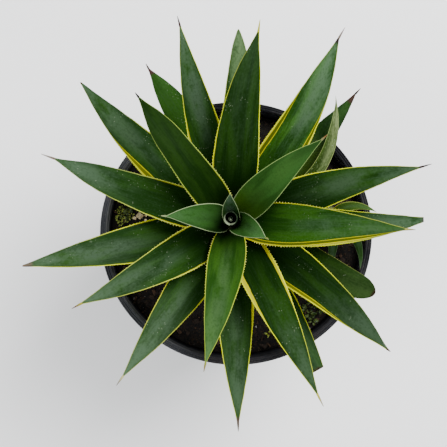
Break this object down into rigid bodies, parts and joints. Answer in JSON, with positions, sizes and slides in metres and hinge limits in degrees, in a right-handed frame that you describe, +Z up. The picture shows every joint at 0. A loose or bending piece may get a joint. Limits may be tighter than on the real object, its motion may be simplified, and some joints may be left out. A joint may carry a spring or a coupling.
{
  "type": "potted agave",
  "caption": "Spiral rosette of stiff, pointed, yellow-edged leaves around a rolled heart bud, with a small offset, growing in soil in a round nursery pot with a ridged lip.",
  "frame": {"origin": "middle of the flat pad under the pot, on the floor", "axes": "+Z up; seen from above with +Y away from the viewer and +X to the right, as in the reference view"},
  "size_m": [0.3786, 0.3855, 0.3943],
  "materials": {
    "pot": "satin black moulded plastic, slightly scuffed",
    "soil": "dark damp potting mix of bark and peat",
    "crown_stem": "pale fleshy crown",
    "heart_bud": "smooth waxy green, rolled leaves",
    "leaf_01": "waxy deep green with a greyish bloom, pale yellow margins and a horny spine",
    "leaf_02": "waxy deep green with a greyish bloom, pale yellow margins and a horny spine",
    "leaf_03": "waxy deep green with a greyish bloom, pale yellow margins and a horny spine",
    "leaf_04": "waxy deep green with a greyish bloom, pale yellow margins and a horny spine",
    "leaf_05": "waxy deep green with a greyish bloom, pale yellow margins and a horny spine",
    "leaf_06": "waxy deep green with a greyish bloom, pale yellow margins and a horny spine",
    "leaf_07": "waxy deep green with a greyish bloom, pale yellow margins and a horny spine",
    "leaf_08": "waxy deep green with a greyish bloom, pale yellow margins and a horny spine",
    "leaf_09": "waxy deep green with a greyish bloom, pale yellow margins and a horny spine",
    "leaf_10": "waxy deep green with a greyish bloom, pale yellow margins and a horny spine",
    "leaf_11": "waxy deep green with a greyish bloom, pale yellow margins and a horny spine",
    "leaf_12": "waxy deep green with a greyish bloom, pale yellow margins and a horny spine",
    "leaf_13": "waxy deep green with a greyish bloom, pale yellow margins and a horny spine",
    "leaf_14": "waxy deep green with a greyish bloom, pale yellow margins and a horny spine",
    "leaf_15": "waxy deep green with a greyish bloom, pale yellow margins and a horny spine",
    "leaf_16": "waxy deep green with a greyish bloom, pale yellow margins and a horny spine",
    "leaf_17": "waxy deep green with a greyish bloom, pale yellow margins and a horny spine",
    "leaf_18": "waxy deep green with a greyish bloom, pale yellow margins and a horny spine",
    "leaf_19": "waxy deep green with a greyish bloom, pale yellow margins and a horny spine",
    "leaf_20": "waxy deep green with a greyish bloom, pale yellow margins and a horny spine",
    "leaf_21": "waxy deep green with a greyish bloom, pale yellow margins and a horny spine",
    "leaf_22": "waxy deep green with a greyish bloom, pale yellow margins and a horny spine",
    "leaf_23": "faded grey-green, dry, folded lengthwise",
    "leaf_24": "waxy deep green with a greyish bloom, pale yellow margins and a horny spine",
    "leaf_25": "waxy deep green with a greyish bloom, pale yellow margins and a horny spine",
    "leaf_26": "waxy deep green with a greyish bloom, pale yellow margins and a horny spine",
    "trimmed_leaf_1": "cut and dried leaf base, straw to brown",
    "trimmed_leaf_2": "cut and dried leaf base, straw to brown",
    "trimmed_leaf_3": "cut and dried leaf base, straw to brown",
    "trimmed_leaf_4": "cut and dried leaf base, straw to brown",
    "trimmed_leaf_5": "cut and dried leaf base, straw to brown",
    "pup_stem": "pale fleshy stem",
    "pup_leaf_1": "waxy green with yellow margins",
    "pup_leaf_2": "waxy green with yellow margins",
    "pup_leaf_3": "waxy green with yellow margins",
    "pup_leaf_4": "waxy green with yellow margins"
  },
  "bodies": {
    "root": {"pot": "pot", "soil": "soil", "crown_stem": "crown_stem", "heart_bud": "heart_bud", "leaf_01": "leaf_01", "leaf_02": "leaf_02", "leaf_03": "leaf_03", "leaf_04": "leaf_04", "leaf_05": "leaf_05", "leaf_06": "leaf_06", "leaf_07": "leaf_07", "leaf_08": "leaf_08", "leaf_09": "leaf_09", "leaf_10": "leaf_10", "leaf_11": "leaf_11", "leaf_12": "leaf_12", "leaf_13": "leaf_13", "leaf_14": "leaf_14", "leaf_15": "leaf_15", "leaf_16": "leaf_16", "leaf_17": "leaf_17", "leaf_18": "leaf_18", "leaf_19": "leaf_19", "leaf_20": "leaf_20", "leaf_21": "leaf_21", "leaf_22": "leaf_22", "leaf_23": "leaf_23", "leaf_24": "leaf_24", "leaf_25": "leaf_25", "leaf_26": "leaf_26", "trimmed_leaf_1": "trimmed_leaf_1", "trimmed_leaf_2": "trimmed_leaf_2", "trimmed_leaf_3": "trimmed_leaf_3", "trimmed_leaf_4": "trimmed_leaf_4", "trimmed_leaf_5": "trimmed_leaf_5", "pup_stem": "pup_stem", "pup_leaf_1": "pup_leaf_1", "pup_leaf_2": "pup_leaf_2", "pup_leaf_3": "pup_leaf_3", "pup_leaf_4": "pup_leaf_4"}
  },
  "joints": []
}
